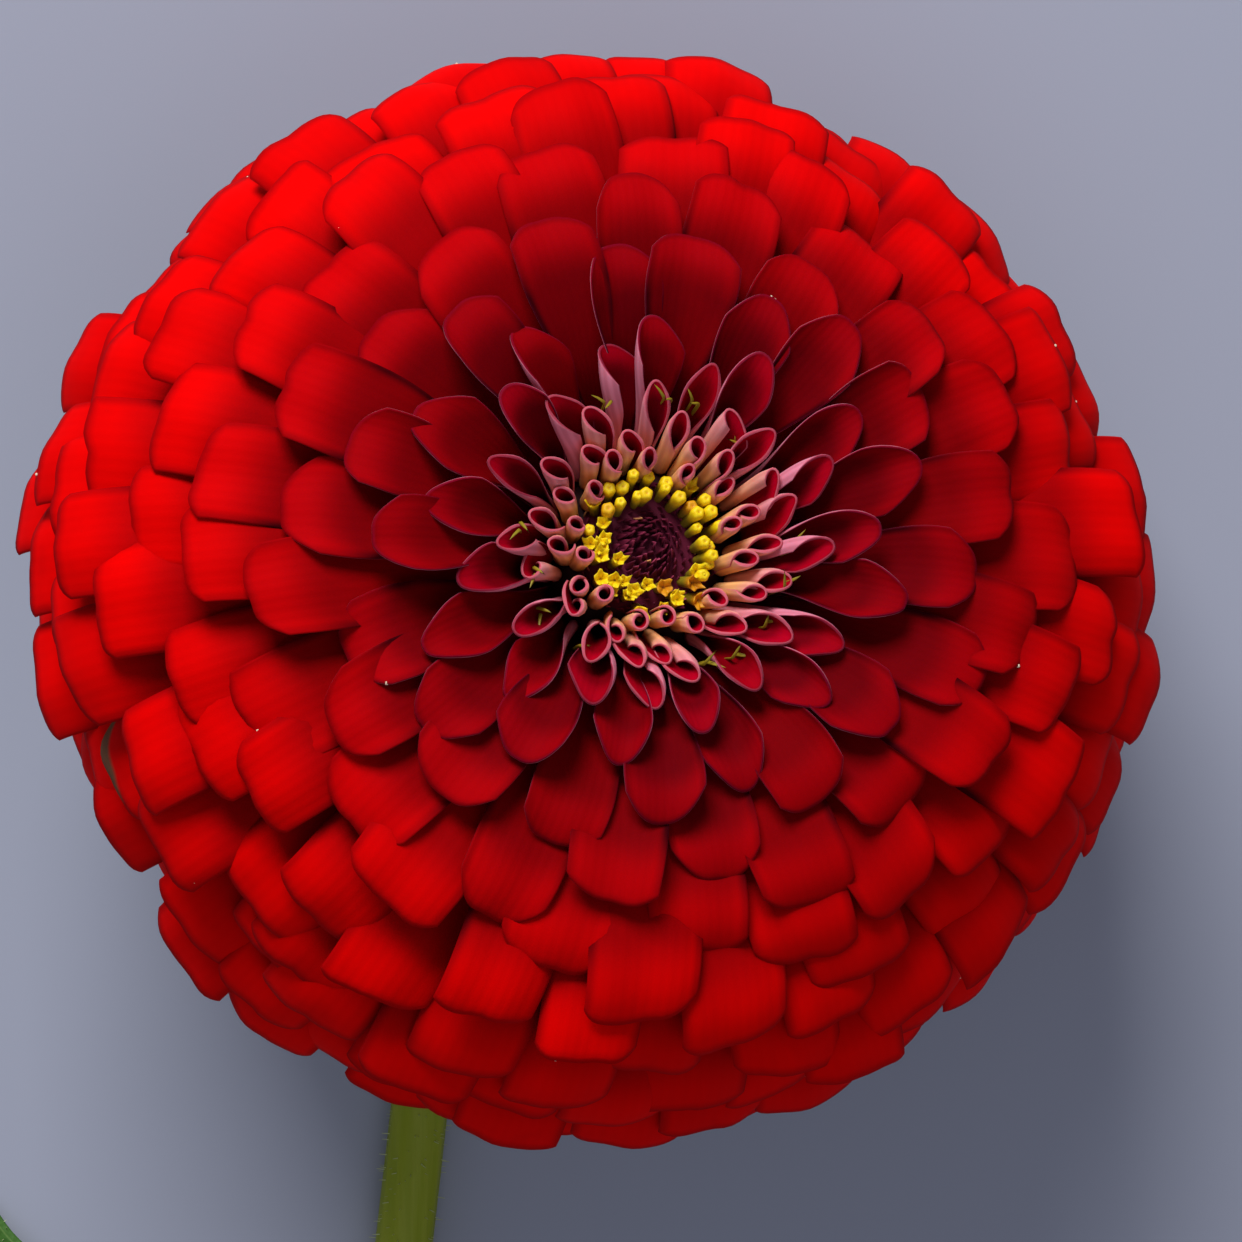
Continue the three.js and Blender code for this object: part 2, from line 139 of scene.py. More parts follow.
def linear(hex_colour):
    """An sRGB hex colour as linear RGBA."""
    parts = [int(hex_colour[i : i + 2], 16) / 255 for i in (1, 3, 5)]
    return tuple(c / 12.92 if c <= 0.04045 else ((c + 0.055) / 1.055) ** 2.4 for c in parts) + (1.0,)


def colour(name, description, hex_colour):
    """A colour setting with its default."""
    default = linear(hex_colour)
    return FloatVectorProperty(name=name, description=description, subtype="COLOR", size=4, default=default)


def noise(index, channel):
    """Even noise in -1..1 from a number and a channel, the same on every run."""
    value = math.sin(index * 12.9898 + channel * 78.233) * 43758.5453
    return (value - math.floor(value)) * 2 - 1


def smooth(x):
    """0 below 0, 1 above 1, eased in between."""
    x = min(max(x, 0.0), 1.0)
    return x * x * (3 - 2 * x)


def between(rows, x, column=1):
    """The value at x of a table whose rows start with x, in straight steps."""
    if x <= rows[0][0]:
        return rows[0][column]
    for low, high in zip(rows, rows[1:]):
        if x <= high[0]:
            return low[column] + (high[column] - low[column]) * (x - low[0]) / (high[0] - low[0])
    return rows[-1][column]


def from_bloom(r, angle, z):
    """A point given round the bloom's axis, in the part's frame, in metres."""
    point = Vector((r * math.cos(angle), r * math.sin(angle), z))
    return (TURN @ point + BASE) * MM


# ---- node trees


def add(tree, kind, settings=None, links=None):
    """One node, with its settings and its inputs, each a value or a socket to link."""
    node = tree.nodes.new(kind)
    for key, value in (settings or {}).items():
        setattr(node, key, value)
    for key, value in (links or {}).items():
        if isinstance(value, Term):
            value = value.socket
        if isinstance(value, bpy.types.NodeSocket):
            tree.links.new(value, node.inputs[key])
        else:
            node.inputs[key].default_value = value
    return node


class Term:
    """A number inside a node tree, so that a shape's rule can be written as a formula."""

    def __init__(self, tree, socket):
        self.tree = tree
        self.socket = socket

    def apply(self, operation, *others, first=None):
        """What a Math node makes of this number and the others; first comes before this one."""
        inputs = [self, *others] if first is None else [first, self, *others]
        links = {i: (float(x) if isinstance(x, (int, float)) else x) for i, x in enumerate(inputs)}
        node = add(self.tree, "ShaderNodeMath", {"operation": operation}, links)
        return Term(self.tree, node.outputs[0])

    def __add__(self, other):
        return self.apply("ADD", other)

    def __sub__(self, other):
        return self.apply("SUBTRACT", other)

    def __rsub__(self, other):
        return self.apply("SUBTRACT", first=other)

    def __mul__(self, other):
        return self.apply("MULTIPLY", other)

    def __truediv__(self, other):
        return self.apply("DIVIDE", other)

    def __pow__(self, other):
        return self.apply("POWER", other)

    __radd__ = __add__
    __rmul__ = __mul__

    def ramp(self, low, high):
        """0 below low, 1 above high, eased in between."""
        settings = {"interpolation_type": "SMOOTHSTEP"}
        links = {"Value": self, "From Min": low, "From Max": high}
        return Term(self.tree, add(self.tree, "ShaderNodeMapRange", settings, links).outputs["Result"])


def marks(tree, *names):
    """The numbers that a piece's points carry under these names, in a geometry tree or in a material."""
    found = []
    for name in names:
        if tree.type == "GEOMETRY":
            node = add(tree, "GeometryNodeInputNamedAttribute", {"data_type": "FLOAT"}, {"Name": name})
            found.append(Term(tree, node.outputs["Attribute"]))
        else:
            node = add(tree, "ShaderNodeAttribute", {"attribute_name": name})
            found.append(Term(tree, node.outputs["Fac"]))
    return found


def new_tree(name, inputs):
    """A geometry tree with a geometry input and output, these number inputs and one for the material."""
    tree = bpy.data.node_groups.new(name, "GeometryNodeTree")
    tree.interface.new_socket("Geometry", in_out="INPUT", socket_type="NodeSocketGeometry")
    for key, kind, default in inputs:
        socket = tree.interface.new_socket(key, in_out="INPUT", socket_type=kind)
        socket.default_value = default
    tree.interface.new_socket("Material", in_out="INPUT", socket_type="NodeSocketMaterial")
    tree.interface.new_socket("Geometry", in_out="OUTPUT", socket_type="NodeSocketGeometry")
    return tree, tree.nodes.new("NodeGroupInput"), tree.nodes.new("NodeGroupOutput")


def copied(tree, into, mesh, painted, keys):
    """Paints a blank and sets a copy of it on each point; returns the copies and the numbers they carry."""
    for key, value in painted.items():
        settings = {"data_type": "FLOAT", "domain": "POINT"}
        links = {"Geometry": mesh, "Name": key, "Value": value}
        mesh = add(tree, "GeometryNodeStoreNamedAttribute", settings, links).outputs[0]
    links = {"Points": into.outputs["Geometry"], "Instance": mesh}
    copies = add(tree, "GeometryNodeInstanceOnPoints", None, links)
    real = add(tree, "GeometryNodeRealizeInstances", None, {0: copies.outputs[0]})
    keys = (*keys, *painted)
    return real.outputs[0], dict(zip(keys, marks(tree, *keys)))


def laid(tree, copies, azimuth, place, into, out):
    """Ends a tree: places its points round the bloom's axis and brings them into the part's frame.

    A place is the distance from the axis, the distance sideways and the height. Nothing goes underground.
    """
    reach, lat, up = place
    ca = azimuth.apply("COSINE")
    sa = azimuth.apply("SINE")
    x = reach * ca - lat * sa
    y = reach * sa + lat * ca
    spot = add(tree, "ShaderNodeCombineXYZ", None, {0: x, 1: y, 2: up})
    bent = add(tree, "GeometryNodeSetPosition", None, {"Geometry": copies, "Position": spot.outputs[0]})
    pose = {"Translation": BASE * MM, "Rotation": TURN.to_euler(), "Scale": (MM, MM, MM)}
    turned = add(tree, "GeometryNodeTransform", None, {"Geometry": bent.outputs[0], **pose})
    here = add(tree, "ShaderNodeSeparateXYZ", None, {0: add(tree, "GeometryNodeInputPosition").outputs[0]})
    height = Term(tree, here.outputs["Z"]).apply("MAXIMUM", 0.1 * MM)
    flat = add(tree, "ShaderNodeCombineXYZ", None, {0: here.outputs["X"], 1: here.outputs["Y"], 2: height})
    links = {"Geometry": turned.outputs[0], "Position": flat.outputs[0]}
    kept = add(tree, "GeometryNodeSetPosition", None, links)
    soft = add(tree, "GeometryNodeSetShadeSmooth", None, {"Geometry": kept.outputs[0]})
    links = {"Geometry": soft.outputs[0], "Material": into.outputs["Material"]}
    done = add(tree, "GeometryNodeSetMaterial", None, links)
    tree.links.new(done.outputs[0], out.inputs[0])


# ---- meshes and pieces


def placed(name, mesh):
    """An object at the origin that holds a finished mesh."""
    mesh.name = name
    piece = bpy.data.objects.new(name, mesh)
    bpy.context.scene.collection.objects.link(piece)
    return piece


def baked(name, mesh, tree, values):
    """The plain object that a geometry tree makes of a mesh, with the tree's inputs set by name."""
    source = placed(name + "_source", mesh)
    modifier = source.modifiers.new(name, "NODES")
    modifier.node_group = tree
    for item in tree.interface.items_tree:
        if item.in_out == "INPUT" and item.name in values:
            modifier[item.identifier] = values[item.name]
    evaluated = source.evaluated_get(bpy.context.evaluated_depsgraph_get())
    result = bpy.data.meshes.new_from_object(evaluated)
    source.modifiers.remove(modifier)
    bpy.data.objects.remove(source)
    if not len(result.polygons):
        raise RuntimeError(name + " came out empty")
    return placed(name, result)


def dress(piece, node, material=None):
    """Gives a finished piece its body and, when one is given, its finish, and hides the solid it stands for.
    """
    if material:
        piece.data.materials.clear()
        piece.data.materials.append(material)
    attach(piece, "root")
    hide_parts(node)


def paint(mesh, key, values):
    """Gives each point of a mesh a named number."""
    numbers = [float(value) for value in values]
    mesh.attributes.new(key, "FLOAT", "POINT").data.foreach_set("value", numbers)


def points_mesh(name, rows):
    """A mesh of loose points at the origin, each carrying one row of named numbers."""
    mesh = bpy.data.meshes.new(name)
    mesh.from_pydata([(0.0, 0.0, 0.0)] * len(rows), [], [])
    for key in rows[0]:
        paint(mesh, key, [row[key] for row in rows])
    return mesh


def tube_mesh(name, rings):
    """A closed body from rows of points: each row joins its own ends, and the first and last are capped."""
    mesh = bpy.data.meshes.new(name)
    count = len(rings[0])
    last = (len(rings) - 1) * count
    faces = []
    for low in range(0, last, count):
        for j in range(count):
            k = (j + 1) % count
            faces.append((low + j, low + k, low + count + k, low + count + j))
    faces.append(tuple(reversed(range(count))))
    faces.append(tuple(range(last, last + count)))
    mesh.from_pydata([point for ring in rings for point in ring], [], faces)
    mesh.polygons.foreach_set("use_smooth", [True] * len(mesh.polygons))
    work = bmesh.new()
    work.from_mesh(mesh)
    bmesh.ops.recalc_face_normals(work, faces=work.faces)
    work.to_mesh(mesh)
    work.free()
    return mesh


def lathe(name, profile, sides):
    """A closed body turned on the bloom's axis from (distance, height) rows in millimetres."""
    turns = [2 * math.pi * j / sides for j in range(sides)]
    return tube_mesh(name, [[from_bloom(r, a, z) for a in turns] for r, z in profile])


# ---- materials


def new_material(name, surface):
    """A material with these inputs set on its Principled surface; returns it with its tree and shader."""
    material = bpy.data.materials.new(name)
    material.use_nodes = True
    tree = material.node_tree
    shader = tree.nodes["Principled BSDF"]
    for key, value in surface.items():
        shader.inputs[key].default_value = value
    return material, tree, shader


def plain_skin(name, shade, roughness, specular):
    """One even colour, for what is too small or too plain to show a pattern."""
    surface = {"Base Color": shade, "Roughness": roughness, "Specular IOR Level": specular}
    return new_material(name, surface)[0]


def layered(tree, base, *layers):
    """A colour with others laid over it, each given as its share and itself."""
    for share, over in layers:
        node = add(tree, "ShaderNodeMix", {"data_type": "RGBA"}, {0: share, 6: base, 7: over})
        base = node.outputs[2]
    return base


def velvet_petal(name, sizes):
    """Fresh zinnia petal: matt and velvety, because its skin is covered in tiny cones that trap light.

    Scarlet where it is grown, crimson while young, with a thin magenta rim and a
    paler, dustier back. Fine nerves run its length. Young petals darken towards their root, partly
    their own darker base and partly painted shade. Every petal also carries a painted shadow where
    it comes out from under the petals above, and painted shade along its edges and tip, where it
    curls under. The rolled petals' faces are a brighter crimson, partly their own colour and partly
    painted light inside the tubes.
    """
    surface = {
        "Roughness": 0.72,
        "Specular IOR Level": 0.02,
        "Sheen Weight": 0.008,
        "Sheen Roughness": 0.5,
        "Sheen Tint": linear("#FF5060"),
        "Subsurface Weight": 0.12,
        "Subsurface Radius": (1.0, 0.05, 0.04),
        "Subsurface Scale": 0.6 * MM,
    }
    material, tree, shader = new_material(name, surface)
    along, across, back, age, own, wilt = marks(tree, "along", "across", "back", "age", "own", "wilt")
    edge = across.apply("ABSOLUTE")
    young = age.ramp(0.56, 0.82)
    # Darkening towards the dark root colour. On young petals it runs towards the root, partly their own
    # darker base and partly painted shade, and it is weaker on the rolled petals. On every petal there is a
    # painted shadow over the part that comes out from under the petals above, and painted shade along the
    # edges and the tip, where the petal curls under.
    deep = (1 - along.ramp(0.2, 0.95)) * young * (1 - age.ramp(0.83, 0.9) * 0.6)
    deep = deep.apply("MAXIMUM", (1 - along.ramp(0.76, 0.94)) * 0.6)
    deep = deep + edge.ramp(0.78, 1.0).apply("MAXIMUM", along.ramp(0.965, 1.0)) * 0.45
    # Nerves run about 1 mm apart, and the darker patches are about 6 mm wide.
    nerve = (across * 30 + own * 7).apply("SINE").ramp(-1.0, 1.0)
    where = add(tree, "ShaderNodeTexCoord").outputs["Object"]
    cloud = add(tree, "ShaderNodeTexNoise", None, {"Vector": where, "Scale": 0.16 / MM, "Detail": 3.0})
    patch = Term(tree, cloud.outputs["Fac"]).ramp(0.45, 0.75)
    face = layered(
        tree,
        sizes.scarlet,
        (young, sizes.crimson),
        # Brighter crimson on the rolled petals' faces: partly their own colour, partly painted light inside
        # the tubes, where their own shade would darken them.
        (age.ramp(0.8, 0.9), sizes.mouth),
        (deep.apply("MINIMUM", 0.97), sizes.dark_root_and_shade),
        (own.ramp(0.0, 1.0) * 0.25, sizes.shade),
        (nerve * 0.02, sizes.dark_root_and_shade),
        (patch * 0.16, sizes.shade),
    )
    reverse = layered(
        tree,
        sizes.back_old,
        (age.ramp(0.62, 0.82), sizes.back_young),
        (age.ramp(0.86, 0.95) * (1 - along.ramp(0.6, 1.0) * 0.5), sizes.back_tan),
        (nerve * 0.22, sizes.crimson),
    )
    rim = edge.ramp(0.965, 0.995).apply("MAXIMUM", along.ramp(0.985, 0.998)) * age.ramp(0.7, 0.86)
    rim_colour = layered(tree, sizes.rim, (age.ramp(0.82, 0.92), sizes.rim_young))
    dead = wilt * (along - 0.05 * across).ramp(0.965, 0.985)
    petal = layered(
        tree,
        face,
        (back.ramp(0.6, 1.0), reverse),
        (rim * (0.4 + 0.4 * age.ramp(0.82, 0.9)), rim_colour),
        (dead, sizes.withered),
    )
    tree.links.new(petal, shader.inputs["Base Color"])
    # Skin cells are about 0.03 mm; the grain is drawn at 0.25 mm so that it shows.
    grain = add(tree, "ShaderNodeTexNoise", None, {"Vector": where, "Scale": 4.0 / MM, "Detail": 2.0})
    height = nerve * 0.6 + Term(tree, grain.outputs["Fac"]) * 0.5
    bump = add(tree, "ShaderNodeBump", None, {"Strength": 0.2, "Distance": 0.1 * MM, "Height": height})
    tree.links.new(bump.outputs["Normal"], shader.inputs["Normal"])
    return material


def waxy_floret(name, sizes):
    """Disc floret: thin, waxy and a little see-through, so light gets into it and its lobes glow."""
    surface = {
        "Roughness": 0.5,
        "Specular IOR Level": 0.3,
        "Subsurface Weight": 0.2,
        "Subsurface Radius": (1.0, 0.7, 0.1),
        "Subsurface Scale": 0.6 * MM,
    }
    material, tree, shader = new_material(name, surface)
    up, own = marks(tree, "up", "own")
    petal = layered(
        tree,
        sizes.yellow,
        (own.ramp(0.8, 0.98) * 0.8, sizes.orange),
        (1 - up.ramp(0.35, 0.66), sizes.tube),
        (up.ramp(0.93, 1.0) * 0.6, sizes.orange),
    )
    tree.links.new(petal, shader.inputs["Base Color"])
    return material


def papery_chaff(name, sizes):
    """Chaff: dry papery scales, dull, dark maroon and paler at their frayed tips."""
    material, tree, shader = new_material(name, {"Roughness": 0.62, "Specular IOR Level": 0.25})
    along, own = marks(tree, "along", "own")
    scale = layered(
        tree,
        sizes.chaff,
        (along.ramp(0.55, 1.0) * own.ramp(-0.6, 1.0) * 0.8, sizes.chaff_tip),
        (along.ramp(0.6, 0.95) * own.ramp(0.9, 0.94), sizes.chaff_dry),
    )
    tree.links.new(scale, shader.inputs["Base Color"])
    return material


def green_bract(name, sizes):
    """Bract of the cup: leathery and half matt, green with a dark, dry, blunt tip."""
    material, tree, shader = new_material(name, {"Roughness": 0.5, "Specular IOR Level": 0.35})
    along, across = marks(tree, "along", "across")
    sides = across.apply("ABSOLUTE").ramp(0.82, 0.98) * along.ramp(0.4, 0.8)
    margin = (along.ramp(0.78, 0.92) + sides).apply("MINIMUM", 1.0)
    tree.links.new(layered(tree, sizes.bract, (margin * 0.9, sizes.margin)), shader.inputs["Base Color"])
    return material


def fleshy_receptacle(name, sizes):
    """Receptacle: firm and fleshy, half matt, green in the cup and, above it, dark maroon as painted shade in
    the gaps between the florets.
    """
    material, tree, shader = new_material(name, {"Roughness": 0.6, "Specular IOR Level": 0.2})
    (high,) = marks(tree, "high")
    # Painted shade: above the cup, where the receptacle only shows in the gaps between the florets, it is
    # painted dark maroon.
    flesh = layered(tree, sizes.bract, (high.ramp(-2.0, 6.0), sizes.core))
    tree.links.new(flesh, shader.inputs["Base Color"])
    return material


def stem_bark(name, sizes):
    """Stem: a soft green skin, half matt, lit a little from inside, with long pale streaks and pale pith."""
    surface = {
        "Roughness": 0.55,
        "Specular IOR Level": 0.3,
        "Subsurface Weight": 0.12,
        "Subsurface Radius": (0.6, 1.0, 0.2),
        "Subsurface Scale": 1.2 * MM,
    }
    material, tree, shader = new_material(name, surface)
    along, cut = marks(tree, "along", "cut")
    where = add(tree, "ShaderNodeTexCoord").outputs["Object"]
    # The streaks are about 1 mm wide and 17 mm long.
    stretch = {"Vector": where, "Scale": (0.9 / MM, 0.06 / MM, 0.9 / MM)}
    stretched = add(tree, "ShaderNodeMapping", None, stretch).outputs[0]
    streak = add(tree, "ShaderNodeTexNoise", None, {"Vector": stretched, "Scale": 1.0, "Detail": 4.0})
    streaks = Term(tree, streak.outputs["Fac"]).ramp(0.35, 0.7)
    skin = layered(
        tree,
        sizes.stem,
        (streaks * 0.5, sizes.stem_pale),
        (along.ramp(0.45, 0.85) * 0.5, sizes.stem_old),
        (cut.ramp(0.03, 0.12), sizes.pith),
    )
    tree.links.new(skin, shader.inputs["Base Color"])
    bump = add(tree, "ShaderNodeBump", None, {"Strength": 0.3, "Distance": 0.2 * MM, "Height": streaks})
    tree.links.new(bump.outputs["Normal"], shader.inputs["Normal"])
    return material


def rough_leaf(name, sizes):
    """Zinnia leaf: harsh to the touch, matt, paler along its three main nerves and on its back."""
    material, tree, shader = new_material(name, {"Roughness": 0.62, "Specular IOR Level": 0.25})
    along, across, face = marks(tree, "along", "across", "face")
    off = across.apply("ABSOLUTE")
    mid = 1 - off.ramp(0.02, 0.07)
    side = (1 - (off - 0.42).apply("ABSOLUTE").ramp(0.015, 0.05)) * (1 - along)
    web = (along * 34 + off * 9).apply("SINE").ramp(0.9, 1.0) * 0.5
    nerves = (mid + side + web).apply("MINIMUM", 1.0)
    where = add(tree, "ShaderNodeTexCoord").outputs["Object"]
    # The darker patches are about 4 mm wide, and the blisters between the smallest veins about 0.5 mm.
    cloud = add(tree, "ShaderNodeTexNoise", None, {"Vector": where, "Scale": 0.24 / MM, "Detail": 4.0})
    cells = add(tree, "ShaderNodeTexVoronoi", None, {"Vector": where, "Scale": 1.8 / MM})
    blade = layered(
        tree,
        sizes.leaf,
        (Term(tree, cloud.outputs["Fac"]).ramp(0.35, 0.7) * 0.5, sizes.leaf_dark),
        (nerves * 0.55, sizes.nerve),
        ((1 - face) * 0.5, sizes.nerve),
    )
    tree.links.new(blade, shader.inputs["Base Color"])
    height = Term(tree, cells.outputs["Distance"]) - nerves * 0.5
    bump = add(tree, "ShaderNodeBump", None, {"Strength": 0.35, "Distance": 0.2 * MM, "Height": height})
    tree.links.new(bump.outputs["Normal"], shader.inputs["Normal"])
    return material


# ---- blades: petals, rolled petals, scales, styles and bracts


# A plain blade: straight-sided, flat and even, to be given a place, a size and a roll.
PLAIN = {
    "twist": 0.0, "claw": 1.0, "spread": 0.62, "round": 0.1, "blunt": 2.0, "skew": 0.0,
    "lop": 0.0, "droop": 0.0, "notch": 0.0, "brim": 0.0, "ragged": 0.0, "ripple": 0.0,
    "phase": 0.0, "thick": 0.4, "age": 0.0, "own": 0.0, "wilt": 0.0,
}

# The measures that bend a blade into its shape; a material reads the others.
BLADE_KEYS = (
    "azimuth", "rootR", "rootZ", "length", "start", "turn", "width", "rollRoot", "rollTip",
    "twist", "claw", "spread", "round", "blunt", "skew", "lop", "droop", "notch", "brim",
    "ragged", "ripple", "phase", "thick",
)


def arched(root, tip, bend, stretch=1.0, tilt=0.0):
    """A blade's arc from its root to its tip, both (distance from the axis, height); angles in degrees."""
    bend = math.radians(bend)
    chord = math.hypot(tip[0] - root[0], tip[1] - root[1]) * stretch
    lean = math.atan2(tip[0] - root[0], tip[1] - root[1]) + math.radians(tilt)
    length = chord * bend / 2 / math.sin(bend / 2)
    return {"rootR": root[0], "rootZ": root[1], "length": length, "start": lean - bend / 2, "turn": bend}


def ray_row(index, count):
    """One ray floret's own measures in millimetres and radians, with its share of unevenness."""
    age = (index + 0.5) / count
    at = {key: between(STAGES, age, column) for column, key in enumerate(STAGE_KEYS) if column}
    young = min(max((age - 0.7) / 0.19, 0.0), 1.0)
    grown = 1 - young
    root = (at["rootR"], at["rootZ"])
    tip = (at["tipR"], at["tipZ"])
    bend = at["bend"] + 8 * noise(index, 5) * grown
    azimuth = index * GOLDEN + (3 + 3 * young) * noise(index, 1)
    stretch = 1 + (0.03 + 0.05 * young) * noise(index, 2) + between(SWELL, azimuth % 360) * grown
    return {
        **PLAIN,
        **arched(root, tip, bend, stretch, (3 + 2 * young) * noise(index, 4)),
        "azimuth": math.radians(azimuth),
        "width": at["width"] * (1 + 0.08 * noise(index, 3)),
        "rollRoot": math.radians(at["rollRoot"]),
        "rollTip": math.radians(at["rollTip"] + (8 + 6 * young) * noise(index, 6)),
        "twist": math.radians(8 * noise(index, 7)) * grown,
        "claw": at["claw"],
        "spread": 0.62 + 0.2 * smooth((age - 0.57) / 0.21),
        "round": at["round"] * (1 + 0.4 * noise(index, 8)),
        "blunt": at["blunt"],
        "skew": 0.03 * noise(index, 9) * grown,
        "droop": (1.5 + 0.8 * noise(index, 12)) * grown,
        "notch": max(0.0, noise(index, 10)) * 0.012 * grown,
        "lop": 0.5 * smooth((age - 0.68) / 0.1) * smooth((1.0 - age) / 0.1) * (noise(index, 13) + 0.7),
        "brim": 0.5 * (1 - smooth((age - 0.5) / 0.2)),
        "ragged": 0.002 * grown,
        "ripple": 0.16 * grown,
        "phase": 3 * noise(index, 11),
        "thick": 0.42,
        "age": age,
        "own": noise(index, 21),
        "wilt": float(index == WILTED),
    }


def scale_row(index, count):
    """One dry scale of the dome; the scales lean inwards, and the outer ones are short."""
    r = 0.4 + 6.2 * math.sqrt((index + 0.5) / count)
    foot = max(24.6 - 0.09 * r * r, 23.0)
    tall = 2.5 + 0.5 * noise(index, 43) + 0.5 * smooth((r - 1) / 2) - 1.2 * smooth((r - 3.6) / 1.5)
    inward = 0.3 * r * (1 - smooth((r - 3.4) / 2)) + 0.3 * noise(index, 44)
    return {
        **PLAIN,
        **arched((r, foot), (r - inward, foot + tall), 30, 1, 4 * noise(index, 45)),
        "azimuth": math.radians(index * GOLDEN),
        "width": 0.85,
        "rollRoot": 0.9,
        "rollTip": 0.9,
        "round": 0.7,
        "blunt": 1.0,
        "thick": 0.16,
        "own": noise(index, 46),
    }


def style_row(index):
    """One arm of a forked style; two arms in turn make a pair."""
    pair = index // 2
    arm = 1 if index % 2 else -1
    r = 11.5 + 0.9 * noise(pair, 51)
    return {
        **PLAIN,
        **arched((r, 24.0), (r + 0.9, 30.8 + 0.8 * noise(pair, 54)), 12),
        "azimuth": math.radians(pair * GOLDEN * 1.7 + 1.6 * arm + 5 * noise(pair, 52)),
        "width": 0.32,
        "rollRoot": 1.2,
        "rollTip": 1.2,
        "twist": 0.9 * arm,
        "droop": 1.3 * arm + 0.5 * noise(index, 53),
        "thick": 0.22,
    }


def bract_row(index):
    """One scale of the green cup; the rows overlap upwards."""
    level, turn = divmod(index, BRACTS_PER_ROW)
    low = -11.3 + 2.2 * level + 0.2 * noise(index, 60)
    high = low + 5.0 + 0.4 * noise(index, 61)
    profile = [(z, r) for r, z in CUP]
    return {
        **PLAIN,
        **arched((between(profile, low) - 0.5, low), (between(profile, high) + 0.35, high), 14),
        "azimuth": 2 * math.pi * (turn + 0.5 * (level % 2) + 0.08 * noise(index, 62)) / BRACTS_PER_ROW,
        "width": 5.4,
        "rollRoot": 0.34,
        "rollTip": 0.26,
        "round": 0.3,
        "blunt": 2.4,
        "thick": 0.5,
        "own": noise(index, 63),
    }


def blade_tree():
    """Turns points that carry a blade's measures into blades.

    A flat blank is set on each point, then bent along a circle from its root to its tip, rolled across,
    twisted, swung round the bloom's axis and laid in the part's frame.
    """
    inputs = (("Across", "NodeSocketInt", 13), ("Along", "NodeSocketInt", 17))
    tree, into, out = new_tree("blades", inputs)
    counts = {"Vertices X": into.outputs["Across"], "Vertices Y": into.outputs["Along"], "Vertices Z": 2}
    blank = add(tree, "GeometryNodeMeshCube", None, {"Size": (2.0, 1.0, 1.0), **counts})
    flat = add(tree, "ShaderNodeSeparateXYZ", None, {0: add(tree, "GeometryNodeInputPosition").outputs[0]})
    x = Term(tree, flat.outputs["X"])
    y = Term(tree, flat.outputs["Y"]) + 0.5
    # The points crowd towards the rims, where the shape turns most.
    painted = {
        "across": x * (1.35 - 0.35 * x * x),
        "along": y * (1.35 - 0.35 * y * y),
        "back": 0.5 - Term(tree, flat.outputs["Z"]),
    }
    copies, own = copied(tree, into, blank.outputs["Mesh"], painted, BLADE_KEYS)
    w = own["across"]
    side = 1 - 2 * own["back"]

    # The outline: a round or blunt tip, a little askew, notched in the middle and finely ragged.
    rim = w.apply("ABSOLUTE") ** own["blunt"]
    dent = (w * 5.5).apply("MULTIPLY", w * -5.5).apply("EXPONENT")
    teeth = (w * 9 + own["phase"] * 2).apply("SINE") * own["ragged"]
    u = own["along"] * (1 - own["round"] * rim + own["skew"] * w - own["notch"] * dent + teeth)

    # The middle line, an arc from the root outwards.
    angle = own["start"] + own["turn"] * u
    pace = own["length"] / own["turn"]
    r = own["rootR"] + pace * (own["start"].apply("COSINE") - angle.apply("COSINE"))
    z = own["rootZ"] + pace * (angle.apply("SINE") - own["start"].apply("SINE"))

    # The width, from a narrow claw to the full blade, and each half's roll. A tight roll is a spiral.
    widen = (u - own["spread"] + 0.62) / 0.62
    claw = own["claw"] + (1 - own["claw"]) * widen.ramp(0.0, 1.0)
    half = own["width"] * 0.5 * claw * (1 - 0.6 * own["round"] * u.ramp(0.8, 1.0))
    roll = own["rollRoot"] + (own["rollTip"] - own["rollRoot"]) * u.ramp(0.0, 0.8)
    roll = (roll + 0.001) * (1 + own["lop"] * w.apply("SIGN"))
    tight = (roll.apply("ABSOLUTE") / math.pi - 0.3).apply("MAXIMUM", 0.0).apply("MINIMUM", 1.0)
    arc = half / roll * (1 + 0.2 * w * tight)
    swing = roll * w

    # The thickness, thinner at the rims, a soft wave, and the tip's droop.
    thick = own["thick"] * 0.5 * (1 - 0.65 * w * w) * (1 - 0.5 * u.ramp(0.85, 1.0)) * side
    under = ((u - 0.84) / 0.16).apply("MAXIMUM", 0.0)
    wave = (w * 5 + own["phase"]).apply("SINE") * own["ripple"] * u.ramp(0.5, 1.0)
    lat = arc * swing.apply("SINE") - thick * swing.apply("SINE")
    off = arc * (1 - swing.apply("COSINE")) + thick * swing.apply("COSINE") + wave
    off = off - own["droop"] * under * under

    # The twist, with the long sides bent back like a brim.
    c = (own["twist"] * u).apply("COSINE")
    d = (own["twist"] * u).apply("SINE")
    off = off - own["brim"] * w * w * w * w * u.ramp(0.3, 0.9)
    lean = lat * d + off * c
    lat = lat * c - off * d
    place = (r - lean * angle.apply("COSINE"), lat, z + lean * angle.apply("SINE"))
    laid(tree, copies, own["azimuth"], place, into, out)
    return tree


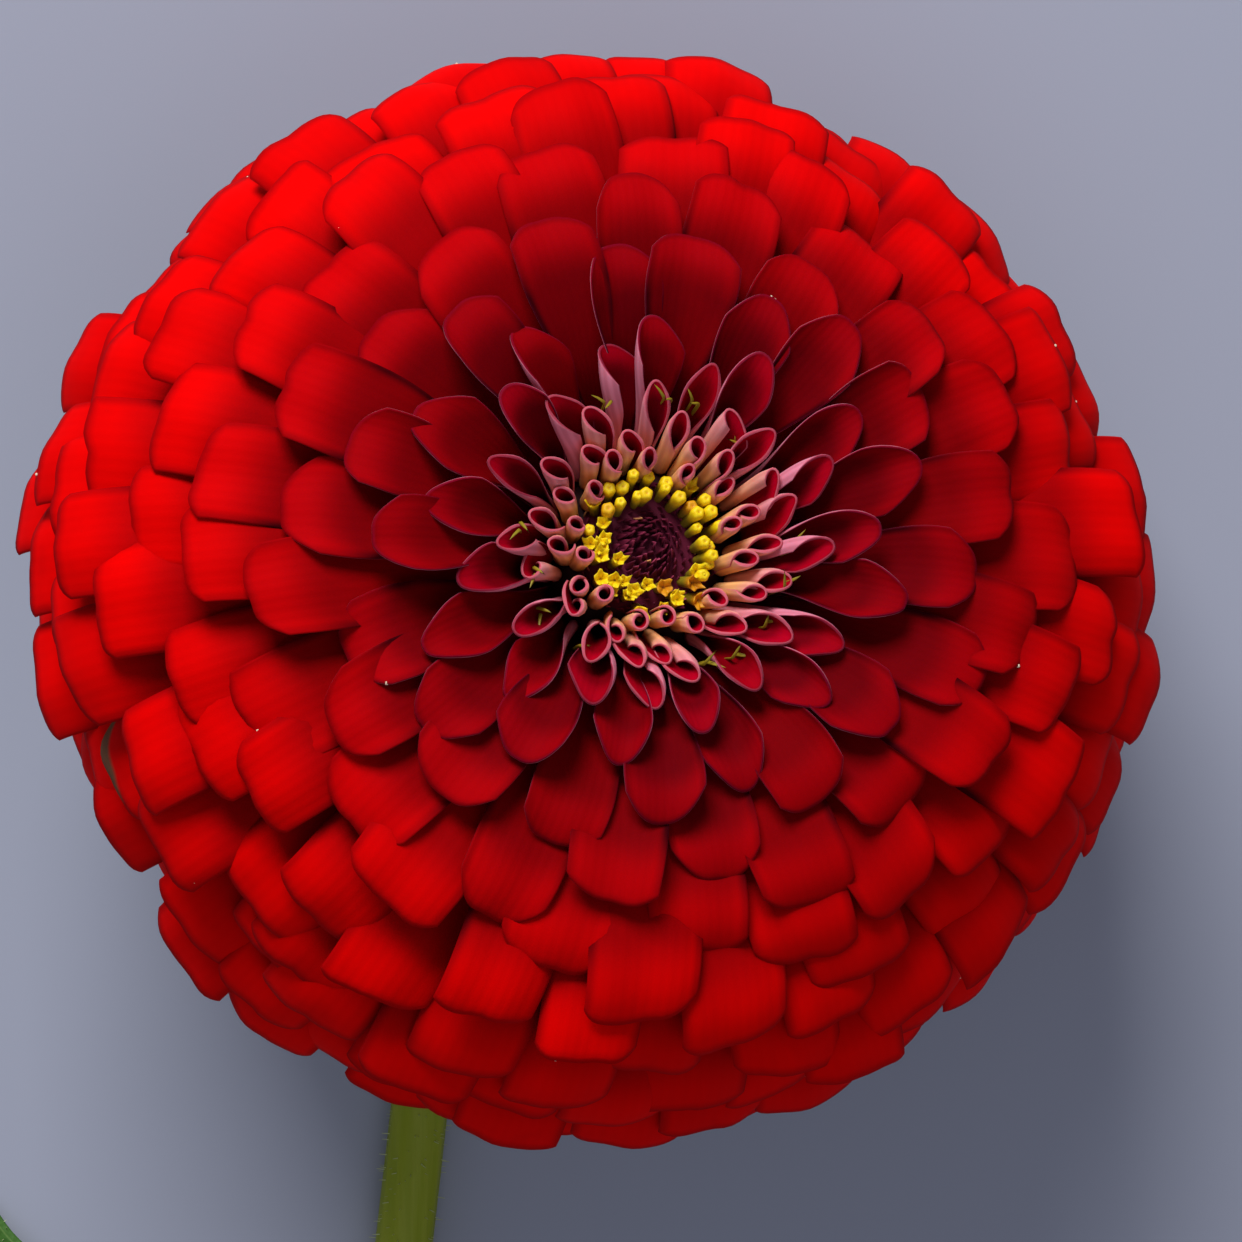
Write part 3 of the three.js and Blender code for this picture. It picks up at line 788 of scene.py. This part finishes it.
def scatter_tree(name, kind, sizes):
    """Stands small shapes on a skin, on every side but the one it lies on, each about as tall as Length."""
    inputs = (
        ("Density", "NodeSocketFloat", 400000.0),
        ("Length", "NodeSocketFloat", 0.6 * MM),
        ("Seed", "NodeSocketInt", 4),
    )
    tree, into, out = new_tree(name, inputs)
    links = {
        "Mesh": into.outputs["Geometry"],
        "Density": into.outputs["Density"],
        "Seed": into.outputs["Seed"],
    }
    spread = add(tree, "GeometryNodeDistributePointsOnFaces", None, links)
    shape = add(tree, kind, None, sizes)
    normal = add(tree, "ShaderNodeSeparateXYZ", None, {0: spread.outputs["Normal"]})
    links = {2: 0.5, 3: 1.2, "Seed": into.outputs["Seed"]}
    some = add(tree, "FunctionNodeRandomValue", {"data_type": "FLOAT"}, links)
    tall = Term(tree, some.outputs[1]) * Term(tree, into.outputs["Length"])
    size = add(tree, "ShaderNodeCombineXYZ", None, {0: tall, 1: tall, 2: tall})
    places = {
        "Points": spread.outputs["Points"],
        "Selection": Term(tree, normal.outputs["Z"]).apply("GREATER_THAN", -0.25),
        "Instance": shape.outputs["Mesh"],
        "Rotation": spread.outputs["Rotation"],
        "Scale": size.outputs[0],
    }
    copies = add(tree, "GeometryNodeInstanceOnPoints", None, places)
    real = add(tree, "GeometryNodeRealizeInstances", None, {0: copies.outputs[0]})
    links = {"Geometry": real.outputs[0], "Material": into.outputs["Material"]}
    done = add(tree, "GeometryNodeSetMaterial", None, links)
    tree.links.new(done.outputs[0], out.inputs[0])
    return tree


# ---- disc florets


DISC_KEYS = ("azimuth", "footR", "footZ", "tall", "radius", "open", "splay", "spin")


def disc_row(index, count):
    """One yellow floret: a closed bud or, on the lower side, an open five-lobed star."""
    azimuth = 2 * math.pi * (index + 0.7 * noise(index, 31)) / count
    outer = index % 2
    sunny = math.cos(azimuth - math.radians(250)) > 0.25 or noise(index, 34) > 0.75
    return {
        "azimuth": azimuth,
        "footR": 4.2 + 1.1 * outer + 0.6 * noise(index, 33),
        "footZ": 23.6,
        "tall": 4.3 - 0.3 * outer + 0.6 * noise(index, 32),
        "radius": 0.54 + 0.09 * noise(index, 35),
        "open": float(sunny),
        "splay": 0.1 + (0.1 + 0.12 * sunny) * noise(index, 36) + 0.06 * outer,
        "spin": 3 * noise(index, 37),
        "own": noise(index, 38),
    }


def disc_tree():
    """Turns points into disc florets: a ball is drawn out into a tube that ends in a dome or a star."""
    tree, into, out = new_tree("disc_florets", (("Around", "NodeSocketInt", 20), ("Up", "NodeSocketInt", 16)))
    counts = {"Segments": into.outputs["Around"], "Rings": into.outputs["Up"], "Radius": 1.0}
    ball = add(tree, "GeometryNodeMeshUVSphere", None, counts)
    here = add(tree, "ShaderNodeSeparateXYZ", None, {0: add(tree, "GeometryNodeInputPosition").outputs[0]})
    x, y, z = (Term(tree, here.outputs[i]) for i in range(3))
    painted = {"around": y.apply("ARCTAN2", x), "up": 1 - z.apply("ARCCOSINE") / math.pi}
    copies, own = copied(tree, into, ball.outputs["Mesh"], painted, DISC_KEYS)
    around = own["around"]

    # The lower part of the ball is the tube and the rest its head, a bud's dome or a star's lobes.
    tube_end = 0.6
    shaft = (own["up"] / tube_end).apply("MINIMUM", 1.0)
    k = ((own["up"] - tube_end) / (1 - tube_end)).apply("MAXIMUM", 0.0)
    arch = (k * math.pi).apply("SINE")
    lobe = 0.5 + (around * 5 + own["spin"]).apply("COSINE") * 0.5
    spike = lobe * lobe * (0.75 + (around * 2 + own["spin"] * 3).apply("SINE") * 0.35)
    bud = (k * (math.pi / 2)).apply("COSINE") * (1 + 0.25 * arch) * (1 - 0.16 * lobe * arch)
    star = (1 - k * k) * (1 + (0.25 + 0.6 * spike) * arch)
    bud_top = 0.2 * (k * 2.2).apply("SINE")
    star_top = (0.1 + 0.2 * spike) * arch - 0.14 * k
    wide = bud + (star - bud) * own["open"]
    high = shaft * 0.8 + bud_top + (star_top - bud_top) * own["open"]

    rho = own["radius"] * wide * (0.7 + 0.3 * shaft)
    side = rho * around.apply("COSINE")
    lat = rho * around.apply("SINE")
    rise = own["tall"] * high
    lean_c = own["splay"].apply("COSINE")
    lean_s = own["splay"].apply("SINE")
    place = (own["footR"] + side * lean_c + rise * lean_s, lat, own["footZ"] + rise * lean_c - side * lean_s)
    laid(tree, copies, own["azimuth"], place, into, out)
    return tree


# ---- stem and leaves


def catmull(points, count):
    """Evenly spaced points and directions along the centripetal Catmull-Rom curve through some points."""
    fine = []
    for i in range(len(points) - 1):
        p1, p2 = points[i], points[i + 1]
        p0 = points[i - 1] if i else p1 * 2 - p2
        p3 = points[i + 2] if i + 2 < len(points) else p2 * 2 - p1
        d0, d1, d2 = ((b - a).length ** 0.5 for a, b in ((p0, p1), (p1, p2), (p2, p3)))
        t1 = ((p1 - p0) / d0 - (p2 - p0) / (d0 + d1) + (p2 - p1) / d1) * d1
        t2 = ((p2 - p1) / d1 - (p3 - p1) / (d1 + d2) + (p3 - p2) / d2) * d1
        for k in range(60):
            t = k / 60
            square = (p2 - p1) * 3 - t1 * 2 - t2
            cube = (p1 - p2) * 2 + t1 + t2
            fine.append(p1 + t1 * t + square * t * t + cube * t**3)
    fine.append(points[-1])
    far = [0.0]
    for a, b in zip(fine, fine[1:]):
        far.append(far[-1] + (b - a).length)
    steps = []
    k = 0
    for i in range(count + 1):
        want = far[-1] * i / count
        while k < len(fine) - 2 and far[k + 1] < want:
            k += 1
        share = (want - far[k]) / (far[k + 1] - far[k])
        steps.append((fine[k].lerp(fine[k + 1], share), (fine[k + 1] - fine[k]).normalized()))
    return steps


def stem_line(count):
    """The stem's middle line: out of the cup, over the neck and along the ground; millimetres."""
    top = BASE - FACING * 13.3
    lie = STEM_RADIUS - 0.12
    points = [top, top - FACING * 5]
    for x, y, z in STEM_LINE:
        points.append(Vector((BASE.x + x, BASE.y + y, lie if z is None else z)))
    return catmull(points, count)


def stem_radius(f):
    """The stem's radius at a share of its length: thicker under the cup and at the joint."""
    neck = 0.55 * (1 - smooth(f / 0.14))
    joint = 0.75 * math.exp(-(((f - JOINT_AT) / 0.016) ** 2))
    return STEM_RADIUS + neck + joint + 0.12 * f


def stem_mesh(count, sides):
    """The stem with its low ribs and, at the cut, a rim round the sunk pith."""
    rings = []
    along = []
    cut = []
    line = stem_line(count)
    shrink = [(i, 1.0, 0.0) for i in range(count + 1)]
    shrink += [(count, 0.9, 0.0), (count, 0.8, 0.25), (count, 0.45, 0.45), (count, 0.02, 0.5)]
    for i, share, sunk in shrink:
        place, heading = line[i]
        side = Vector((0, 0, 1)).cross(heading).normalized()
        up = heading.cross(side)
        f = i / count
        ring = []
        for j in range(sides):
            angle = 2 * math.pi * j / sides
            ribs = 0.05 * math.cos(9 * angle + 2.5 * f) + 0.03 * math.cos(4 * angle + 11 * f)
            r = (stem_radius(f) - 0.05 + ribs) * share
            point = place - heading * sunk + side * r * math.cos(angle) + up * r * math.sin(angle)
            point.z = max(point.z, 0.02)
            ring.append(point * MM)
            along.append(f)
            cut.append(0.0 if share > 0.95 else 1.0 - share)
        rings.append(ring)
    mesh = tube_mesh("stem_skin", rings)
    paint(mesh, "along", along)
    paint(mesh, "cut", cut)
    return mesh


def leaf_mesh(name, side, reach, number, count, across):
    """A stalkless leaf: its midrib arches from the joint to the tip, and its blade folds up a little."""
    steps = stem_line(400)
    joint, heading = steps[round(JOINT_AT * 400)]
    out = Vector((-heading.y, heading.x, 0)).normalized() * side
    start = joint + out * (stem_radius(JOINT_AT) + 0.35)
    start.z = 3.9
    tip = Vector((joint.x + reach[0], joint.y + reach[1], 1.2))
    elbow = start + out * 0.36 * (tip - start).length
    elbow.z = 7.0
    start -= out * 0.8
    # Each ring runs over the face from one edge to the other, and home under the back.
    spots = [(2 * j / across - 1, 1) for j in range(across + 1)]
    spots += [(1 - 2 * j / across, 0) for j in range(1, across)]
    rings = []
    painted = {"along": [], "across": [], "face": []}
    for i in range(count + 1):
        s = i / count
        middle = start * (1 - s) ** 2 + elbow * 2 * s * (1 - s) + tip * s * s
        turn = (elbow - start) * (1 - s) + (tip - elbow) * s
        turn.z = 0
        left = Vector((0, 0, 1)).cross(turn.normalized())
        half = LEAF_WIDTH / 2 * math.sin(math.pi * (0.08 + 0.9 * s**0.95)) ** 0.85
        ring = []
        for w, face in spots:
            right_hand = 1 if w > 0 else -1
            wave = 0.8 * math.sin(9 * s + number + 1.6 * right_hand) * w * w * math.sin(math.pi * s)
            lift = 2.4 * abs(w) * math.sin(math.pi * min(1, 0.1 + 0.9 * s)) + wave
            tooth = 0.12 * math.sin(95 * s + 2 * number) * w * w
            nerve = math.exp(-((w / 0.05) ** 2)) + 0.6 * math.exp(-(((abs(w) - 0.42) / 0.04) ** 2)) * (1 - s)
            cell = math.sin(34 * s + 9 * abs(w)) * (1 - nerve) * min(1, 6 * (1 - abs(w)))
            thick = LEAF_THICK / 2 * (1 - 0.7 * w**4)
            deep = thick - 0.22 * nerve + 0.07 * cell if face else -thick - 0.35 * nerve * (1 - 0.6 * s)
            if abs(w) == 1:
                deep = 0.0
            point = middle + left * (w * half + tooth * right_hand)
            point.z = max(point.z + lift, LEAF_THICK / 2 + 0.1) + deep
            point.z = max(point.z, 0.05)
            ring.append(point * MM)
            painted["along"].append(s)
            painted["across"].append(w)
            painted["face"].append(face)
        rings.append(ring)
    mesh = tube_mesh(name, rings)
    for key, values in painted.items():
        paint(mesh, key, values)
    return mesh


# ---- settings


class ZinniaRays(bpy.types.PropertyGroup):
    florets: IntProperty(name="Ray florets", description="How many petals the bloom has", default=348, min=60)
    dust: FloatProperty(name="Dust", description="Pale grains per square metre of petal", default=12000.0)
    grain: colour("Grain", "Dust and pollen grains", "#E6D2B8")
    scarlet: colour("Scarlet", "Grown petal", "#E80000")
    crimson: colour("Crimson", "Young petal", "#88000A")
    # Partly the rolled petals' own crimson, partly painted light inside the tubes.
    mouth: colour("Mouth", "Inside of a rolled petal", "#AC001E")
    # Dark maroon: the young petals' own darker root, painted shade under the petals above and along edges and
    # tips, and a faint tint on the nerves.
    dark_root_and_shade: colour("Heart", "Towards a petal's root", "#2C0006")
    shade: colour("Shade", "Darker patches", "#9C0003")
    rim: colour("Rim", "Thin edge of a petal", "#7E1238")
    rim_young: colour("Young rim", "Thin edge of a rolled petal", "#D26878")
    back_old: colour("Old back", "Back of a grown petal", "#A80E1C")
    back_young: colour("Young back", "Back of a young petal", "#E0849A")
    back_tan: colour("Youngest back", "Back of the rolled petals", "#F6B672")
    withered: colour("Withered", "Dead tip of one petal", "#6E4A34")


class ZinniaDisc(bpy.types.PropertyGroup):
    florets: IntProperty(name="Disc florets", description="Yellow, round the middle", default=46, min=8)
    scales: IntProperty(name="Chaff scales", description="Dark scales in the middle", default=230, min=10)
    styles: IntProperty(name="Styles", description="Forked styles between the petals", default=13, min=2)
    yellow: colour("Yellow", "Disc floret", "#F2D010")
    orange: colour("Orange", "Ripe mouth of a disc floret", "#C86A10")
    tube: colour("Tube", "Foot of a disc floret", "#8C7A18")
    chaff: colour("Chaff", "Scales and the dome they stand on", "#621430")
    chaff_tip: colour("Chaff tip", "Frayed end of a scale", "#B84468")
    chaff_dry: colour("Dry chaff", "Bleached end of a few scales", "#DC9C60")
    style: colour("Style", "Arms of the styles", "#94821C")


class ZinniaGreens(bpy.types.PropertyGroup):
    bracts: IntProperty(name="Bracts", description="Scales of the green cup", default=48, min=12)
    stem_hair: FloatProperty(name="Stem hairs", description="Per square metre of stem", default=450000.0)
    leaf_hair: FloatProperty(name="Leaf hairs", description="Per square metre of leaf", default=600000.0)
    bract: colour("Bract", "Cup scale", "#5E7A26")
    margin: colour("Bract tip", "Dry edge of a cup scale", "#1E1410")
    # Dark maroon: painted shade in the gaps between the florets.
    core: colour("Core", "Receptacle between the florets", "#2E0C10")
    stem: colour("Stem", "Stem skin", "#8E9A12")
    stem_pale: colour("Stem streak", "Pale streaks", "#A2A832")
    stem_old: colour("Old stem", "Stem near its cut", "#5E7420")
    pith: colour("Pith", "Inside of the stem", "#C9D3A0")
    leaf: colour("Leaf", "Leaf face", "#45702A")
    leaf_dark: colour("Dark leaf", "Darker patches", "#2E5520")
    nerve: colour("Nerve", "Leaf nerves and back", "#86A05A")
    hair: colour("Hair", "Stiff plant hairs", "#C8D09A")


class ZinniaStage(bpy.types.PropertyGroup):
    distance: FloatProperty(name="Distance", description="Camera to the disc", default=0.472, unit="LENGTH")
    frame_width: FloatProperty(name="Frame width", description="At the disc", default=0.1105, unit="LENGTH")
    key: FloatProperty(name="Key light", description="Power of the main light", default=13.4, unit="POWER")
    fill: FloatProperty(name="Fill light", description="Power of the second light", default=1.2, unit="POWER")
    sky: FloatProperty(name="Sky", description="Strength of the light from all round", default=0.26)
    floor: colour("Floor", "Colour of the floor", "#A3A7B8")


# ---- operators


class ZINNIA_OT_rays(bpy.types.Operator):
    """Makes the ray florets, from the lowest skirt to the rolled ones round the disc"""

    bl_idname = "zinnia.rays"
    bl_label = "Ray florets"

    def execute(self, context):
        sizes = context.scene.zinnia_rays
        material = velvet_petal("velvet_petal", sizes)
        tree = blade_tree()
        rows = [ray_row(i, sizes.florets) for i in range(sizes.florets)]
        grains = scatter_tree("grains", "GeometryNodeMeshIcoSphere", {"Radius": 0.5, "Subdivisions": 1})
        # Dust and pollen are dry and dull.
        grain = plain_skin("dust_grain", sizes.grain, 0.8, 0.2)
        for name, first, last, across, along in RAY_PIECES:
            own = [row for row in rows if first <= row["age"] < last]
            values = {"Across": across, "Along": along, "Material": material}
            piece = baked(name, points_mesh(name, own), tree, values)
            dress(piece, "ray_petals")
            if name in DUSTY:
                values = {"Density": sizes.dust, "Length": 0.34 * MM, "Seed": 11, "Material": grain}
                dress(baked(name + "_dust", piece.data.copy(), grains, values), "ray_petals")
        return {"FINISHED"}


class ZINNIA_OT_disc(bpy.types.Operator):
    """Makes the disc: the ring of yellow florets, the dark dome with its scales and the curled styles"""

    bl_idname = "zinnia.disc"
    bl_label = "Disc"

    def execute(self, context):
        sizes = context.scene.zinnia_disc
        rows = [disc_row(i, sizes.florets) for i in range(sizes.florets)]
        values = {"Around": 20, "Up": 16, "Material": waxy_floret("waxy_disc_floret", sizes)}
        ring = baked("disc_ring", points_mesh("disc_ring", rows), disc_tree(), values)
        dress(ring, "disc_florets")

        blades = bpy.data.node_groups["blades"]
        rows = [scale_row(i, sizes.scales) for i in range(sizes.scales)]
        values = {"Across": 5, "Along": 7, "Material": papery_chaff("papery_chaff", sizes)}
        scales = baked("chaff_scales", points_mesh("chaff_scales", rows), blades, values)
        dress(scales, "disc_centre")
        # The dome under the scales is as dry and dull as they are.
        dome = plain_skin("disc_dome", sizes.chaff, 0.7, 0.2)
        dress(placed("disc_dome", lathe("disc_dome", DOME, 48)), "disc_centre", dome)

        rows = [style_row(i) for i in range(sizes.styles * 2)]
        # A style is moist and smooth, so it has a soft shine.
        style = plain_skin("style_arm", sizes.style, 0.45, 0.35)
        values = {"Across": 5, "Along": 15, "Material": style}
        dress(baked("styles", points_mesh("styles", rows), blades, values), "disc_florets")
        return {"FINISHED"}


class ZINNIA_OT_cup(bpy.types.Operator):
    """Makes the receptacle and the green cup of overlapping bracts round its foot"""

    bl_idname = "zinnia.cup"
    bl_label = "Cup"

    def execute(self, context):
        sizes = context.scene.zinnia_greens
        skin = lathe("receptacle", ((0.05, -13.0), *CUP, *RECEPTACLE), 48)
        paint(skin, "high", [(v.co - BASE * MM).dot(FACING) / MM for v in skin.vertices])
        flesh = fleshy_receptacle("fleshy_receptacle", sizes)
        dress(placed("receptacle", skin), "involucre", flesh)
        rows = [bract_row(i) for i in range(sizes.bracts)]
        values = {"Across": 11, "Along": 11, "Material": green_bract("green_bract", sizes)}
        blades = bpy.data.node_groups["blades"]
        dress(baked("cup_bracts", points_mesh("cup_bracts", rows), blades, values), "involucre")
        return {"FINISHED"}


class ZINNIA_OT_greens(bpy.types.Operator):
    """Makes the stem and the pair of leaves, with their hairs"""

    bl_idname = "zinnia.greens"
    bl_label = "Stem and leaves"

    def execute(self, context):
        sizes = context.scene.zinnia_greens
        cone = {"Vertices": 3, "Side Segments": 1, "Radius Top": 0.04, "Radius Bottom": 0.09, "Depth": 1.0}
        tree = scatter_tree("bristles", "GeometryNodeMeshCone", cone)
        # Plant hairs are stiff and glassy.
        hair = plain_skin("plant_hair", sizes.hair, 0.4, 0.5)
        skin = stem_mesh(420, 40)
        values = {"Density": sizes.stem_hair, "Length": 0.7 * MM, "Seed": 4, "Material": hair}
        dress(baked("stem_hairs", skin.copy(), tree, values), "stem")
        dress(placed("stem_skin", skin), "stem", stem_bark("stem_skin", sizes))
        blade = rough_leaf("rough_leaf", sizes)
        for name, side, reach, number in LEAVES:
            skin = leaf_mesh(name + "_blade", side, reach, number, 110, 48)
            values = {"Density": sizes.leaf_hair, "Length": 0.5 * MM, "Seed": 7, "Material": hair}
            dress(baked(name + "_hairs", skin.copy(), tree, values), name)
            dress(placed(name + "_blade", skin), name, blade)
        return {"FINISHED"}


def lamp(name, place, size, power, hex_colour):
    """A soft square light that looks at the bloom; lengths in metres."""
    data = bpy.data.lights.new(name, "AREA")
    data.size = size
    data.energy = power
    data.color = linear(hex_colour)[:3]
    light = bpy.data.objects.new(name, data)
    bpy.context.scene.collection.objects.link(light)
    light.location = place
    aim = Vector((0.006, 0.05, 0.03))
    light.rotation_euler = (aim - Vector(place)).to_track_quat("-Z", "Y").to_euler()


class ZINNIA_OT_stage(bpy.types.Operator):
    """Lays the floor and sets the lights and the camera that looks down on the flower"""

    bl_idname = "zinnia.stage"
    bl_label = "Stage"

    def execute(self, context):
        scene = context.scene
        sizes = scene.zinnia_stage
        side = 2.0
        corners = [(-side, -side, 0.0), (side, -side, 0.0), (side, side, 0.0), (-side, side, 0.0)]
        mesh = bpy.data.meshes.new("floor")
        mesh.from_pydata(corners, [], [(0, 1, 2, 3)])
        # Matt paper scatters light evenly, so the flower has no reflection in it.
        mesh.materials.append(plain_skin("matt_paper_backdrop", sizes.floor, 0.9, 0.5))
        floor = placed("floor", mesh)

        # The camera looks down from the far side of straight above, so the stem comes down in its view.
        slope = math.radians(CAMERA_LEAN)
        back = Vector((0, math.sin(slope), math.cos(slope)))
        up = Vector((0, math.cos(slope), -math.sin(slope)))
        right = Vector((1, 0, 0))
        disc = (BASE + FACING * 28) * MM
        data = bpy.data.cameras.new("camera")
        data.sensor_width = 36.0
        data.lens = data.sensor_width * sizes.distance / sizes.frame_width
        camera = bpy.data.objects.new("camera", data)
        scene.collection.objects.link(camera)
        camera.location = disc - right * ASIDE - up * ABOVE + back * sizes.distance
        camera.rotation_euler = Matrix((right, up, back)).transposed().to_euler()
        scene.camera = camera

        lamp("key", (-0.2, 0.94, 0.64), 0.5, sizes.key, "#FFFFFF")
        lamp("fill", (0.15, -0.35, 0.95), 0.8, sizes.fill, "#F2F4FF")
        world = bpy.data.worlds.new("soft_grey")
        scene.world = world
        world.use_nodes = True
        background = world.node_tree.nodes["Background"]
        background.inputs["Color"].default_value = linear("#DDE4F4")
        background.inputs["Strength"].default_value = sizes.sky
        scene.view_settings.view_transform = "Standard"
        return {"FINISHED"}


class ZINNIA_PT_panel(bpy.types.Panel):
    """Lists the flower's pieces"""

    bl_idname = "ZINNIA_PT_panel"
    bl_label = "Double zinnia"
    bl_space_type = "VIEW_3D"
    bl_region_type = "UI"
    bl_category = "Zinnia"

    def draw(self, context):
        for operator in OPERATORS:
            self.layout.operator(operator.bl_idname)


GROUPS = {
    "zinnia_rays": ZinniaRays,
    "zinnia_disc": ZinniaDisc,
    "zinnia_greens": ZinniaGreens,
    "zinnia_stage": ZinniaStage,
}
OPERATORS = (ZINNIA_OT_rays, ZINNIA_OT_disc, ZINNIA_OT_cup, ZINNIA_OT_greens, ZINNIA_OT_stage)


def register():
    for group in GROUPS.values():
        bpy.utils.register_class(group)
    for operator in OPERATORS:
        bpy.utils.register_class(operator)
    bpy.utils.register_class(ZINNIA_PT_panel)
    for name, group in GROUPS.items():
        setattr(bpy.types.Scene, name, PointerProperty(type=group))


def unregister():
    for name in GROUPS:
        delattr(bpy.types.Scene, name)
    bpy.utils.unregister_class(ZINNIA_PT_panel)
    for operator in reversed(OPERATORS):
        bpy.utils.unregister_class(operator)
    for group in reversed(GROUPS.values()):
        bpy.utils.unregister_class(group)


def main():
    register()
    bpy.ops.zinnia.rays()
    bpy.ops.zinnia.disc()
    bpy.ops.zinnia.cup()
    bpy.ops.zinnia.greens()
    bpy.ops.zinnia.stage()


if __name__ == "__main__":
    main()
